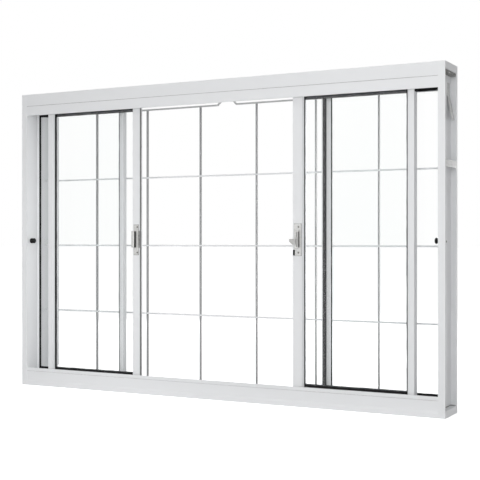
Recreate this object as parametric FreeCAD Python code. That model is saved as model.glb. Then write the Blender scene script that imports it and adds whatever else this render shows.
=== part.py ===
import FreeCAD
import Part
import os

# Four-leaf aluminium sliding window with a fixed grille, all sizes in millimetres.
# X runs along the width, Y from the room side (front) to the street side, Z up.
# The origin is under the middle of the frame.

# Frame
FRAME_WIDTH = 1500.0
FRAME_HEIGHT = 1000.0
FRAME_DEPTH = 120.0
FRAME_WALL = 1.5
CHANNEL_DEPTH = 21.0        # outward channel that the wall's mortar fills
RETURN_LIP = 12.0           # lip on the outer edge of the rear jamb flange
HEAD_FASCIA = 72.5
HEAD_GROOVE_DROP = 40.0     # groove line, below the top edge
HEAD_REAR_DROP = 45.0
SILL_FASCIA = 60.0
SILL_GROOVE_RISE = 49.0     # groove line, above the bottom edge
SILL_STEP_RISE = 13.0       # foot of the sill's sloped ledge
SILL_STEP_HEIGHT = 7.0
SILL_STEP_SETBACK = 2.0
SILL_REAR_RISE = 40.0
FASCIA_RETURN = 6.0         # folded edge of both fascias, towards the leaves
GROOVE_WIDTH = 1.2
GROOVE_DEPTH = 0.7

# Tracks
TRACK_WIDTH = 4.0
TRACK_HEIGHT = 13.0
GUIDE_DROP = 27.0           # head guide rib, below the head's web

# Sliding leaves
RUN_CLEAR = 5.0             # clearance between leaves and what they pass
CLOSED_GAP = 5.0            # between the meeting stiles of the closed leaves
LEAF_OVERLAP = 11.5         # what each leaf adds to a quarter of the clear width
LOCK_LEAF_EXTRA = 3.0       # the right leaf is wider by this, the left one narrower
LEFT_REST_GAP = 69.0        # how far each open leaf stands from its bumper
RIGHT_REST_GAP = 58.0
SASH_SETBACK = 11.0
SASH_DEPTH = 27.0
SASH_WALL = 1.5
SASH_LIFT = 9.0             # leaf's bottom edge above the sill's web
SASH_HEAD_ROOM = 17.0       # leaf's top edge below the head's web
STILE_FACE = 17.5
KEEPER_STILE_FACE = 27.0
LOCK_STILE_FACE = 29.5
BEAD_WIDTH = 4.0            # sloped lip that covers the edge of the glass
BEAD_SLOPE = 6.5            # how far the lip falls back
BEAD_DEPTH = 9.0
GLASS_POCKET = 6.5          # depth of the groove that holds the glass
BOTTOM_RAIL = 27.0
TOP_RAIL = 30.0
HOOK_INSET = 6.0            # interlock hook, from the leaf's outer edge
HOOK_END_GAP = 20.0         # hook's ends, short of the fixed glazing's ribs
FLAP_REACH = 8.0            # rear flap of the lock stile
REBATE_FRONT = 15.0         # depth of the keeper stile in front of its rebate
ROLLER_RADIUS = 6.0
ROLLER_WIDTH = 6.0
AXLE_RADIUS = 2.0
ROLLER_INSET = 60.0
ROLLER_GAP = 0.3

# Glass and gaskets
GLASS = 4.0
GLASS_EDGE_GAP = 2.0        # between the glass edge and the bottom of its groove
SASH_GASKET = 3.0
SASH_GASKET_SHOW = 4.0      # front gasket past the stile's bead
SASH_GASKET_SHOW_LOW = 10.0
SASH_GASKET_SHOW_TOP = 11.5
FIXED_GASKET = 4.0
REAR_GASKET_SHOW = 1.0      # gasket behind the glass, on all sides

# Fixed leaves
INTERLOCK_LAP = 21.0        # fixed stile's reach past the closed leaf's edge
FIXED_STILE_TUBE = 17.5
FIXED_STILE_STEP = 6.5      # how much narrower the tube is behind the glass
FIXED_BEAD = 6.5
JAMB_RIB = 8.0
SILL_RIB = 29.0
HEAD_RIB = 39.0
FIXED_SHOW_STILE = 3.0      # front gasket past the stile, jamb, sill and head ribs
FIXED_SHOW_JAMB = 7.5
FIXED_SHOW_SILL = 8.0
FIXED_SHOW_HEAD = 14.0
FIXED_GASKET_TUCK = 10.0

# Grille
BAR_COUNT = 6
BAR_END_GAP = 215.7         # outermost bars, from the jambs
BAR_WIDTH = 3.2
BAR_DEPTH = 9.5
RAIL_COUNT = 5
RAIL_SIZE = 5.0
RAIL_LOWEST = 28.0
RAIL_TOP_DROP = 66.0
KINK_BASE = 34.0            # half width of the top rail's kink at its foot
KINK_TOP = 14.0
KINK_RISE = 20.0
KINK_SEAT = 3.5             # how far the head's rib laps the kink

# Bumpers and wall anchors
BUMPER_RISE = 497.0
BUMPER_RADIUS = 8.7
BUMPER_REACH = 15.0
BUMPER_FOOT = 4.0           # length of the foot and of the head beside the waist
BUMPER_WAIST = 1.4          # how much thinner the waist is
BUMPER_CHAMFER = 2.0
BAND_RISE = 716.0
BAND_HEIGHT = 20.0
BAND_WALL = 1.5
RIVET_SEAT_RADIUS = 3.5     # shallow seats for the rivets at the band's ends
RIVET_SEAT_DEPTH = 0.9
RIVET_INSET = 12.5
STRAP_TOP_DROP = 50.0
STRAP_FOOT = 30.0
STRAP_DROP = 105.0
STRAP_WIDTH = 23.0
STRAP_SETBACK = 80.0
STRAP_WALL = 1.5
STRAP_END_GAP = 4.0         # strap's free end, inside the outer plane
STRAP_HOLE_RADIUS = 2.5
STRAP_HOLE_PITCH = 22.0
STRAP_HOLES = 4

# Lock and keeper
LOCK_RISE = 500.0
LOCK_INSET = 16.5           # lock's centre line, from the stile's edge
LOCK_WIDTH = 23.0
LOCK_LENGTH = 96.0
LOCK_PLATE = 2.0
PLATE_CORNER = 3.0
HOUSING_LIFT = 1.5          # housing's and hood's centre above the lock's centre
HOUSING_LENGTH = 54.5
HOUSING_INSET = 3.2         # housing's left side, from the plate's left edge
HOUSING_WIDTH = 13.5
HOUSING_HEIGHT = 9.5
HOUSING_ROUND = 2.0
LOCK_WALL = 1.2             # housing's right wall, beside the slot
LOCK_SLOT_WIDTH = 5.5
LOCK_SLOT_LENGTH = 46.0
LOCK_SLOT_DEPTH = 4.5
LATCH_GAP = 0.3
LATCH_TRAVEL = 6.0          # room above the thumb slide and its beak
LATCH_WALL = 3.0
THUMB_WIDTH = 6.3           # window of the thumb slide, from inside the housing's left wall
THUMB_INSET = 3.4
THUMB_DROP = 2.0            # slide's face below the housing's face
THUMB_RIM = 1.0
THUMB_DEPTH = 1.5           # dished middle of the slide
LATCH_REACH = 8.0           # beak past the stile's edge
LATCH_HEIGHT = 17.0
LATCH_DROP = 6.0            # beak's centre below the lock's centre
LATCH_NOSE = 7.5            # upright stretch at the beak's tip
LATCH_SLOPE = 10.0          # how far the beak's foot falls back
KEEPER_INSET = 4.5          # keeper's plate, from the stile's edge
KEEPER_PLATE_WIDTH = 18.0
KEEPER_LENGTH = 98.0
KEEPER_PLATE = 1.5
KEEPER_HOOD_OVERHANG = 4.0  # hood past the plate's far edge
KEEPER_HOOD_WIDTH = 11.0
KEEPER_HOOD_LENGTH = 55.0
KEEPER_HOOD_HEIGHT = 11.0
KEEPER_WALL = 1.5

# Planes worked out from the sizes above
front = -FRAME_DEPTH / 2
back = FRAME_DEPTH / 2
outer = FRAME_WIDTH / 2
jamb_inner = outer - CHANNEL_DEPTH
sill_top = CHANNEL_DEPTH
head_low = FRAME_HEIGHT - CHANNEL_DEPTH

sash_front = front + SASH_SETBACK
sash_back = sash_front + SASH_DEPTH
sash_mid = sash_front + SASH_DEPTH / 2
sash_width = jamb_inner / 2 + LEAF_OVERLAP
left_width = sash_width - LOCK_LEAF_EXTRA
right_width = sash_width + LOCK_LEAF_EXTRA
left_inner = jamb_inner - BUMPER_REACH - LEFT_REST_GAP - left_width
right_inner = jamb_inner - BUMPER_REACH - RIGHT_REST_GAP - right_width
sash_low = sill_top + SASH_LIFT
sash_high = head_low - SASH_HEAD_ROOM
rail_low_top = sash_low + BOTTOM_RAIL
rail_high_low = sash_high - TOP_RAIL

fixed_hook_front = sash_back + RUN_CLEAR
fixed_hook_back = fixed_hook_front + SASH_WALL
sash_hook_front = fixed_hook_back + RUN_CLEAR
sash_hook_back = sash_hook_front + SASH_WALL
pocket_front = sash_hook_back + RUN_CLEAR
pocket_inner = pocket_front + FRAME_WALL
fixed_glass_front = pocket_inner + FIXED_GASKET
fixed_glass_back = fixed_glass_front + GLASS
pocket_inner_back = fixed_glass_back + FIXED_GASKET
pocket_back = pocket_inner_back + FRAME_WALL
sill_rib_top = sill_top + SILL_RIB
head_rib_low = head_low - HEAD_RIB

closed_outer = CLOSED_GAP / 2 + sash_width
fixed_edge = closed_outer - INTERLOCK_LAP
fixed_tube_end = fixed_edge + FIXED_STILE_TUBE
fixed_bead_end = fixed_tube_end + FIXED_BEAD
fixed_rear_edge = fixed_edge + FIXED_STILE_STEP
strap_top = FRAME_HEIGHT - STRAP_TOP_DROP

bar_pitch = 2 * (jamb_inner - BAR_END_GAP) / (BAR_COUNT - 1)
bar_back = back - FRAME_WALL
bar_front = bar_back - BAR_DEPTH
rail_front = bar_front - RAIL_SIZE
rail_top = FRAME_HEIGHT - RAIL_TOP_DROP


def rect(a0, b0, a1, b1):
    return [(a0, b0), (a1, b0), (a1, b1), (a0, b1)]


def flat_face(points, lift):
    corners = [lift(a, b) for a, b in points]
    return Part.Face(Part.makePolygon(corners + corners[:1]))


def section(walls, grooves, lift):
    profile = flat_face(walls[0], lift)
    if len(walls) > 1:
        profile = profile.fuse([flat_face(wall, lift) for wall in walls[1:]])
    for groove in grooves:
        profile = profile.cut(flat_face(groove, lift))
    return profile.removeSplitter()


def upright(walls, low, high, grooves=()):
    """A profile drawn in plan (x, y) and run from low to high."""
    profile = section(walls, grooves, lambda x, y: FreeCAD.Vector(x, y, low))
    return merged([face.extrude(FreeCAD.Vector(0, 0, high - low)) for face in profile.Faces])


def crosswise(walls, left, right, grooves=()):
    """A profile drawn from the side (y, z) and run from left to right."""
    profile = section(walls, grooves, lambda y, z: FreeCAD.Vector(left, y, z))
    return merged([face.extrude(FreeCAD.Vector(right - left, 0, 0)) for face in profile.Faces])


def frontal(points, near, far):
    """An outline seen from the front (x, z), from depth near to depth far."""
    face = flat_face(points, lambda x, z: FreeCAD.Vector(x, near, z))
    return face.extrude(FreeCAD.Vector(0, far - near, 0))


def block(low, high):
    size = [b - a for a, b in zip(low, high)]
    return Part.makeBox(*size, FreeCAD.Vector(*low))


def merged(solids):
    if len(solids) == 1:
        return solids[0]
    return solids[0].fuse(solids[1:]).removeSplitter()


def other_side(shape):
    return shape.mirror(FreeCAD.Vector(0, 0, 0), FreeCAD.Vector(1, 0, 0))


def save(name, shape):
    solids = shape.Solids
    if not solids or not all(solid.isValid() for solid in solids):
        raise ValueError(name + " is not a sound solid")
    whole = solids[0] if len(solids) == 1 else Part.makeCompound(solids)
    whole.exportStep("parts/" + name + ".step")
    print(name, len(solids), round(sum(solid.Volume for solid in solids)))


def save_pair(name, shape):
    save("right_" + name, shape)
    save("left_" + name, other_side(shape))


def groove_line(rise, face):
    return rect(face, rise - GROOVE_WIDTH / 2, face + GROOVE_DEPTH, rise + GROOVE_WIDTH / 2)


# Frame members: extruded sections, butted at the corners inside the jamb flanges
def channel_end(web_low, low, high):
    """What closes the channel's end beside a jamb: the web's tongue and its turned tab."""
    tongue = rect(front + FRAME_WALL, web_low, back - FRAME_WALL, web_low + FRAME_WALL)
    tab = rect(front + FRAME_WALL, low, back - RETURN_LIP, high)
    end = [crosswise([tongue], jamb_inner, outer - FRAME_WALL),
           crosswise([tab], outer - FRAME_WALL, outer)]
    return end + [other_side(piece) for piece in end]


def head():
    low = FRAME_HEIGHT - HEAD_FASCIA
    walls = [
        rect(front, head_low, back, head_low + FRAME_WALL),
        rect(front, low, front + FRAME_WALL, FRAME_HEIGHT),
        rect(front, low, front + FASCIA_RETURN, low + FRAME_WALL),
        rect(back - FRAME_WALL, FRAME_HEIGHT - HEAD_REAR_DROP, back, FRAME_HEIGHT),
        rect(sash_mid - TRACK_WIDTH / 2, head_low - GUIDE_DROP, sash_mid + TRACK_WIDTH / 2, head_low),
        rect(pocket_front, head_rib_low, pocket_inner, head_low),
        rect(pocket_inner_back, head_rib_low, pocket_back, head_low),
        rect(bar_front, rail_top + KINK_RISE + RAIL_SIZE / 2 - KINK_SEAT, bar_front + FRAME_WALL, head_low),
    ]
    line = groove_line(FRAME_HEIGHT - HEAD_GROOVE_DROP, front)
    run = crosswise(walls, -jamb_inner, jamb_inner, [line])
    return merged([run] + channel_end(head_low, head_low, FRAME_HEIGHT))


def sill():
    face = front + SILL_STEP_SETBACK
    web_low = sill_top - FRAME_WALL
    ledge_top = SILL_STEP_RISE + SILL_STEP_HEIGHT
    ledge = [(front, SILL_STEP_RISE), (front + FRAME_WALL, SILL_STEP_RISE),
             (face + FRAME_WALL, ledge_top), (face, ledge_top)]
    walls = [
        rect(face, web_low, back, sill_top),
        rect(front, 0, front + FRAME_WALL, SILL_STEP_RISE),
        ledge,
        rect(face, ledge_top, face + FRAME_WALL, SILL_FASCIA),
        rect(face, SILL_FASCIA - FRAME_WALL, front + FASCIA_RETURN, SILL_FASCIA),
        rect(back - FRAME_WALL, 0, back, SILL_REAR_RISE),
        rect(sash_mid - TRACK_WIDTH / 2, sill_top, sash_mid + TRACK_WIDTH / 2, sill_top + TRACK_HEIGHT),
        rect(pocket_front, sill_top, pocket_inner, sill_rib_top),
        rect(pocket_inner_back, sill_top, pocket_back, sill_rib_top),
    ]
    run = crosswise(walls, -jamb_inner, jamb_inner, [groove_line(SILL_GROOVE_RISE, face)])
    return merged([run] + channel_end(web_low, 0, sill_top))


def right_jamb():
    flanges = [
        rect(jamb_inner, front, outer, front + FRAME_WALL),
        rect(jamb_inner, back - FRAME_WALL, outer, back),
        rect(outer - FRAME_WALL, back - RETURN_LIP, outer, back),
    ]
    web = rect(jamb_inner, front, jamb_inner + FRAME_WALL, back)
    ribs = [
        rect(jamb_inner - JAMB_RIB, pocket_front, jamb_inner, pocket_inner),
        rect(jamb_inner - JAMB_RIB, pocket_inner_back, jamb_inner, pocket_back),
    ]
    jamb = merged([upright(flanges[:1], 0, FRAME_HEIGHT), upright(flanges[1:], 0, FRAME_HEIGHT),
                   upright([web], sill_top, head_low)]
                  + [upright([rib], sill_rib_top, head_rib_low) for rib in ribs])
    notch = block((outer - FRAME_WALL, back - RETURN_LIP, BAND_RISE - BAND_HEIGHT / 2),
                  (outer, back - FRAME_WALL, BAND_RISE + BAND_HEIGHT / 2))
    return jamb.cut(notch)


os.makedirs("parts", exist_ok=True)
save("head", head())
save("sill", sill())
save_pair("jamb", right_jamb())


# Fixed leaves, glazed straight into the frame behind the sliding ones
def fixed_stile():
    hook_reach = closed_outer - HOOK_INSET - SASH_WALL - RUN_CLEAR
    side_walls = [
        rect(fixed_edge, pocket_inner, fixed_edge + SASH_WALL, fixed_glass_front),
        rect(fixed_edge, fixed_glass_front - SASH_WALL, fixed_rear_edge + SASH_WALL, fixed_glass_front),
        rect(fixed_rear_edge, fixed_glass_front - SASH_WALL, fixed_rear_edge + SASH_WALL, pocket_inner_back),
        rect(fixed_tube_end - SASH_WALL, pocket_inner, fixed_tube_end, pocket_inner_back),
    ]
    plates = side_walls + [
        rect(fixed_edge, pocket_front, fixed_bead_end, pocket_inner),
        rect(fixed_rear_edge, pocket_inner_back, fixed_bead_end, pocket_back),
        rect(fixed_edge, fixed_hook_front, fixed_edge + SASH_WALL, pocket_front),
        rect(fixed_edge, fixed_hook_front, hook_reach, fixed_hook_back),
    ]
    return merged([upright(plates, sill_rib_top, head_rib_low), upright(side_walls[:3], sill_top, head_low),
                   upright(side_walls[3:], sill_top, head_low)])


def pane(left, right, low, high, near):
    return block((left, near, low), (right, near + GLASS, high))


def ring(outside, inside, near, far):
    return frontal(rect(*outside), near, far).cut(frontal(rect(*inside), near, far))


def inset(window, left, low, right, high):
    """A rectangle drawn in from each side of window by its own amount."""
    return (window[0] + left, window[1] + low, window[2] - right, window[3] - high)


def fixed_gaskets():
    outside = (fixed_tube_end, sill_rib_top - FIXED_GASKET_TUCK, jamb_inner, head_rib_low + FIXED_GASKET_TUCK)
    ribs = (fixed_bead_end, sill_rib_top, jamb_inner - JAMB_RIB, head_rib_low)
    inside = inset(ribs, FIXED_SHOW_STILE, FIXED_SHOW_SILL, FIXED_SHOW_JAMB, FIXED_SHOW_HEAD)
    rear = inset(ribs, *[REAR_GASKET_SHOW] * 4)
    return Part.makeCompound([ring(outside, inside, pocket_inner, fixed_glass_front),
                              ring(outside, rear, fixed_glass_back, pocket_inner_back)])


save_pair("fixed_stile", fixed_stile())
save_pair("fixed_glass", pane(fixed_tube_end + GLASS_EDGE_GAP, jamb_inner - GLASS_EDGE_GAP,
                              sill_top + GLASS_EDGE_GAP, head_low - GLASS_EDGE_GAP, fixed_glass_front))
save_pair("fixed_gasket", fixed_gaskets())


# Grille: flat bars on edge behind square rails, the top rail with a kink up to the head
def bent_bar(points, size):
    """Outline of a bar of even thickness along points, mitred at each bend."""
    path = [FreeCAD.Vector(x, 0, z) for x, z in points]
    sides = []
    for a, b in zip(path, path[1:]):
        along = (b - a).normalize()
        sides.append(FreeCAD.Vector(-along.z, 0, along.x))
    normals = [sides[0]]
    for a, b in zip(sides, sides[1:]):
        normals.append((a + b) / (1 + a.dot(b)))
    normals.append(sides[-1])
    upper = [p + n * (size / 2) for p, n in zip(path, normals)]
    lower = [p - n * (size / 2) for p, n in zip(path, normals)]
    return [(p.x, p.z) for p in lower + upper[::-1]]


for number in range(RAIL_COUNT):
    z = RAIL_LOWEST + number * (rail_top - RAIL_LOWEST) / (RAIL_COUNT - 1)
    route = [(-jamb_inner, z), (jamb_inner, z)]
    if number == RAIL_COUNT - 1:
        peak = z + KINK_RISE
        route[1:1] = [(-KINK_BASE, z), (-KINK_TOP, peak), (KINK_TOP, peak), (KINK_BASE, z)]
    save("grille_rail_%d" % (number + 1), frontal(bent_bar(route, RAIL_SIZE), rail_front, bar_front))

for number in range(BAR_COUNT):
    x = (number - (BAR_COUNT - 1) / 2) * bar_pitch
    outline = rect(x - BAR_WIDTH / 2, bar_front, x + BAR_WIDTH / 2, bar_back)
    save("grille_bar_%d" % (number + 1), upright([outline], sill_top, rail_top + RAIL_SIZE / 2))


# Bumpers and wall anchors
def bumper():
    """Rubber stop with a foot, a waist and a chamfered head, turned about its axis."""
    tip = jamb_inner - BUMPER_REACH
    waist = BUMPER_RADIUS - BUMPER_WAIST
    profile = [(jamb_inner, 0), (jamb_inner, BUMPER_RADIUS), (jamb_inner - BUMPER_FOOT, BUMPER_RADIUS),
               (jamb_inner - BUMPER_FOOT - BUMPER_WAIST, waist), (tip + BUMPER_FOOT + BUMPER_WAIST, waist),
               (tip + BUMPER_FOOT, BUMPER_RADIUS), (tip + BUMPER_CHAMFER, BUMPER_RADIUS),
               (tip, BUMPER_RADIUS - BUMPER_CHAMFER), (tip, 0)]
    half = flat_face(profile, lambda x, radius: FreeCAD.Vector(x, sash_mid + radius, BUMPER_RISE))
    return half.revolve(FreeCAD.Vector(0, sash_mid, BUMPER_RISE), FreeCAD.Vector(1, 0, 0), 360)


def anchor_band():
    """Flat band across the channel, with a seat for a rivet at each end."""
    half = BAND_HEIGHT / 2
    ends = (front + FRAME_WALL, back - FRAME_WALL)
    band = block((outer - BAND_WALL, ends[0], BAND_RISE - half), (outer, ends[1], BAND_RISE + half))
    for y in (ends[0] + RIVET_INSET, ends[1] - RIVET_INSET):
        start = FreeCAD.Vector(outer - RIVET_SEAT_DEPTH, y, BAND_RISE)
        band = band.cut(Part.makeCylinder(RIVET_SEAT_RADIUS, BAND_WALL, start, FreeCAD.Vector(1, 0, 0)))
    return band


def anchor_strap():
    seat = jamb_inner + FRAME_WALL
    bend = strap_top - STRAP_FOOT
    tip = outer - STRAP_END_GAP
    low = strap_top - STRAP_DROP
    outline = [(seat, strap_top), (seat, bend), (tip - STRAP_WALL, low),
               (tip, low), (seat + STRAP_WALL, bend), (seat + STRAP_WALL, strap_top)]
    near = front + STRAP_SETBACK
    strap = frontal(outline, near, near + STRAP_WIDTH)
    middle = near + STRAP_WIDTH / 2
    for number in range(STRAP_HOLES):
        start = FreeCAD.Vector(jamb_inner, middle, strap_top - STRAP_FOOT / 2 - number * STRAP_HOLE_PITCH)
        reach = CHANNEL_DEPTH + FRAME_WALL
        strap = strap.cut(Part.makeCylinder(STRAP_HOLE_RADIUS, reach, start, FreeCAD.Vector(1, 0, 0)))
    return strap


save_pair("bumper", bumper())
save_pair("anchor_band", anchor_band())
save_pair("anchor_strap", anchor_strap())


# Sliding leaves, drawn as the right-hand one: stiles run full height, rails between them
glass_near = sash_front + BEAD_DEPTH + SASH_GASKET
glass_far = glass_near + GLASS
leg_front = glass_far + SASH_GASKET


def stile(edge, inward, face, extra=(), rebate=False):
    """Walls from the outer edge towards the glass, run full height and notched for the tracks."""
    end = face + BEAD_WIDTH
    pocket = end - GLASS_POCKET
    leg = leg_front - sash_front
    step = FLAP_REACH - CLOSED_GAP + RUN_CLEAR if rebate else 0.0
    side = REBATE_FRONT if rebate else SASH_DEPTH
    walls = [
        (0, 0, face, SASH_WALL),
        (0, 0, SASH_WALL, side),
        (pocket - SASH_WALL, 0, pocket, SASH_DEPTH),
        (step, SASH_DEPTH - SASH_WALL, end, SASH_DEPTH),
        (pocket, BEAD_DEPTH - SASH_WALL, end, BEAD_DEPTH),
        (end - SASH_WALL, leg, end, SASH_DEPTH),
        (pocket, leg, end, leg + SASH_WALL),
    ]
    lip = [(face, 0), (end, BEAD_SLOPE), (end, BEAD_DEPTH), (end - SASH_WALL, BEAD_DEPTH),
           (end - SASH_WALL, BEAD_SLOPE + SASH_WALL / 2), (face - SASH_WALL / 2, SASH_WALL)]
    if rebate:
        walls += [(0, side - SASH_WALL, step + SASH_WALL, side), (step, side, step + SASH_WALL, SASH_DEPTH)]

    def place(u0, v0, u1, v1):
        ends = sorted([edge + inward * u0, edge + inward * u1])
        return rect(ends[0], sash_front + v0, ends[1], sash_front + v1)

    lip_wall = [(edge + inward * u, sash_front + v) for u, v in lip]
    groove = place(face - 2 * GROOVE_WIDTH, 0, face - GROOVE_WIDTH, GROOVE_DEPTH)
    body = upright([lip_wall] + [place(*wall) for wall in walls], sash_low, sash_high, [groove])
    hook_low = sill_rib_top + HOOK_END_GAP
    hook_high = head_rib_low - HOOK_END_GAP
    for wall in extra:
        body = merged([body, upright([place(*wall)], hook_low, hook_high)])
    far_edge = edge + inward * end
    left, right = sorted([edge, far_edge])
    half = TRACK_WIDTH / 2 + RUN_CLEAR
    track_top = sill_top + TRACK_HEIGHT + RUN_CLEAR
    guide_low = head_low - GUIDE_DROP - RUN_CLEAR
    body = body.cut(block((left, sash_mid - half, sash_low), (right, sash_mid + half, track_top)))
    return body.cut(block((left, sash_mid - half, guide_low), (right, sash_mid + half, sash_high)))


def interlock_hook():
    """Wall and lip behind the outer stile that catch the fixed stile's hook."""
    root = SASH_DEPTH - SASH_WALL
    tip = sash_hook_back - sash_front
    lip_end = closed_outer - (fixed_edge + SASH_WALL + RUN_CLEAR)
    return [(HOOK_INSET, root, HOOK_INSET + SASH_WALL, tip),
            (HOOK_INSET, tip - SASH_WALL, lip_end, tip)]


def rail(left, right, lip, web, free_edge):
    """A rail with glazing bead and leg on the glass side and an open channel on the track side."""
    up = 1 if lip > web else -1

    def span(y0, z0, y1, z1):
        return rect(sash_front + y0, min(z0, z1), sash_front + y1, max(z0, z1))

    leg = leg_front - sash_front
    lip_wall = lip - up * SASH_WALL
    walls = [
        span(0, web, SASH_DEPTH, web - up * SASH_WALL),
        span(0, free_edge, SASH_WALL, lip),
        span(SASH_DEPTH - SASH_WALL, free_edge, SASH_DEPTH, lip),
        span(0, lip_wall, BEAD_DEPTH, lip),
        span(BEAD_DEPTH - SASH_WALL, web, BEAD_DEPTH, lip),
        span(leg, lip_wall, SASH_DEPTH, lip),
        span(leg, web, leg + SASH_WALL, lip),
    ]
    return crosswise(walls, left, right)


def rollers(left, right):
    rise = sill_top + TRACK_HEIGHT + ROLLER_GAP + ROLLER_RADIUS
    along = FreeCAD.Vector(0, 1, 0)
    pair = []
    for x in (left + ROLLER_INSET, right - ROLLER_INSET):
        wheel_start = FreeCAD.Vector(x, sash_mid - ROLLER_WIDTH / 2, rise)
        axle_start = FreeCAD.Vector(x, sash_front + SASH_WALL, rise)
        wheel = Part.makeCylinder(ROLLER_RADIUS, ROLLER_WIDTH, wheel_start, along)
        axle = Part.makeCylinder(AXLE_RADIUS, SASH_DEPTH - 2 * SASH_WALL, axle_start, along)
        pair.append(wheel.fuse(axle))
    return Part.makeCompound(pair)


def save_leaf(side, inner, width, meeting_face, rebate, place):
    """One sliding leaf; place mirrors the pieces of the left-hand one."""
    outer_edge = inner + width
    meeting_end = inner + meeting_face + BEAD_WIDTH
    outer_end = outer_edge - STILE_FACE - BEAD_WIDTH
    window = (meeting_end, rail_low_top, outer_end, rail_high_low)
    edges = inset(window, *[GLASS_EDGE_GAP - GLASS_POCKET] * 4)
    daylight = inset(window, SASH_GASKET_SHOW, SASH_GASKET_SHOW_LOW, SASH_GASKET_SHOW, SASH_GASKET_SHOW_TOP)
    rear = inset(window, *[REAR_GASKET_SHOW] * 4)
    gaskets = [ring(edges, daylight, sash_front + BEAD_DEPTH, glass_near), ring(edges, rear, glass_far, leg_front)]
    left, low, right, high = edges
    pieces = {
        "outer_stile": stile(outer_edge, -1, STILE_FACE, interlock_hook()),
        "meeting_stile": stile(inner, 1, meeting_face, (), rebate),
        "bottom_rail": rail(meeting_end, outer_end, rail_low_top, rail_low_top - GLASS_POCKET, sash_low),
        "top_rail": rail(meeting_end, outer_end, rail_high_low, rail_high_low + GLASS_POCKET, sash_high),
        "sash_glass": pane(left, right, low, high, glass_near),
        "sash_gasket": Part.makeCompound(gaskets),
        "sash_rollers": rollers(meeting_end, outer_end),
    }
    for name, shape in pieces.items():
        save(side + "_" + name, place(shape))


save_leaf("right", right_inner, right_width, LOCK_STILE_FACE, False, lambda shape: shape)
save_leaf("left", left_inner, left_width, KEEPER_STILE_FACE, True, other_side)


# Flap, lock and keeper
def meeting_flap():
    near = sash_front + REBATE_FRONT + RUN_CLEAR
    walls = [rect(right_inner - FLAP_REACH, near, right_inner, near + SASH_WALL),
             rect(right_inner - SASH_WALL, near, right_inner, sash_back)]
    return upright(walls, sill_rib_top + HOOK_END_GAP, head_rib_low - HOOK_END_GAP)


def rounded(low, high, radius, front_too):
    """A block whose upright corners, and its front rim too if asked, are rounded."""
    body = block(low, high)
    deep = [edge for edge in body.Edges if edge.BoundBox.YLength > edge.BoundBox.DiagonalLength / 2]
    rim = [edge for edge in body.Edges if edge.BoundBox.YMax < (low[1] + high[1]) / 2]
    return body.makeFillet(radius, deep + rim if front_too else deep)


lock_middle = right_inner + LOCK_INSET
lock_left = lock_middle - LOCK_WIDTH / 2
lock_front = sash_front - HOUSING_HEIGHT
housing_middle = LOCK_RISE + HOUSING_LIFT
housing_left = lock_left + HOUSING_INSET
slot_right = housing_left + HOUSING_WIDTH - LOCK_WALL
slot_floor = lock_front + LOCK_SLOT_DEPTH
thumb_left = housing_left + THUMB_INSET
beak_far = lock_front + LATCH_WALL
beak_low = LOCK_RISE - LATCH_DROP - LATCH_HEIGHT / 2
beak_high = beak_low + LATCH_HEIGHT


def lock_body():
    """Screwed plate with a housing on it: a slot, the thumb slide's window and a gap for the beak."""
    half = HOUSING_LENGTH / 2
    half_slot = LOCK_SLOT_LENGTH / 2
    plate = rounded((lock_left, sash_front - LOCK_PLATE, LOCK_RISE - LOCK_LENGTH / 2),
                    (lock_left + LOCK_WIDTH, sash_front, LOCK_RISE + LOCK_LENGTH / 2), PLATE_CORNER, False)
    housing = rounded((housing_left, lock_front, housing_middle - half),
                      (housing_left + HOUSING_WIDTH, sash_front, housing_middle + half), HOUSING_ROUND, True)
    slot = block((slot_right - LOCK_SLOT_WIDTH, lock_front, housing_middle - half_slot),
                 (slot_right, slot_floor, housing_middle + half_slot))
    window_low = beak_low - LATCH_GAP
    window_high = beak_high + LATCH_TRAVEL + LATCH_GAP
    window = block((thumb_left, lock_front, window_low), (thumb_left + THUMB_WIDTH, slot_floor, window_high))
    side_gap = block((housing_left, lock_front, window_low), (thumb_left, beak_far + LATCH_GAP, window_high))
    return merged([plate, housing]).cut([slot, window, side_gap])


def lock_latch():
    """Dished thumb slide in its window, with the beak that reaches past the stile."""
    tip = right_inner - LATCH_REACH
    slide_left = thumb_left + LATCH_GAP
    slide_right = thumb_left + THUMB_WIDTH - LATCH_GAP
    root = slide_left + THUMB_RIM
    nose = [(tip, beak_high), (tip, beak_high - LATCH_NOSE), (tip + LATCH_SLOPE, beak_low),
            (root, beak_low), (root, beak_high)]
    beak = frontal(nose, lock_front, beak_far)
    near = lock_front + THUMB_DROP
    slide = block((slide_left, near, beak_low), (slide_right, slot_floor, beak_high))
    dish = block((root, near, beak_low + THUMB_RIM),
                 (slide_right - THUMB_RIM, near + THUMB_DEPTH, beak_high - THUMB_RIM))
    return merged([beak, slide]).cut(dish)


def keeper():
    """Screwed plate with a hood over it, open towards the lock."""
    right = -left_inner - KEEPER_INSET
    left = right - KEEPER_PLATE_WIDTH
    plate = rounded((left, sash_front - KEEPER_PLATE, LOCK_RISE - KEEPER_LENGTH / 2),
                    (right, sash_front, LOCK_RISE + KEEPER_LENGTH / 2), PLATE_CORNER, False)
    half = KEEPER_HOOD_LENGTH / 2
    near = sash_front - KEEPER_HOOD_HEIGHT
    hood_left = left - KEEPER_HOOD_OVERHANG
    hood_right = hood_left + KEEPER_HOOD_WIDTH
    hood = rounded((hood_left, near, housing_middle - half), (hood_right, sash_front, housing_middle + half),
                   HOUSING_ROUND, True)
    hollow = block((hood_left + KEEPER_WALL, near + KEEPER_WALL, housing_middle - half + KEEPER_WALL),
                   (hood_right, sash_front - KEEPER_PLATE, housing_middle + half - KEEPER_WALL))
    return merged([plate, hood]).cut(hollow)


save("right_meeting_flap", meeting_flap())
save("lock_body", lock_body())
save("lock_latch", lock_latch())
save("lock_keeper", keeper())
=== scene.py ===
import math

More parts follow.
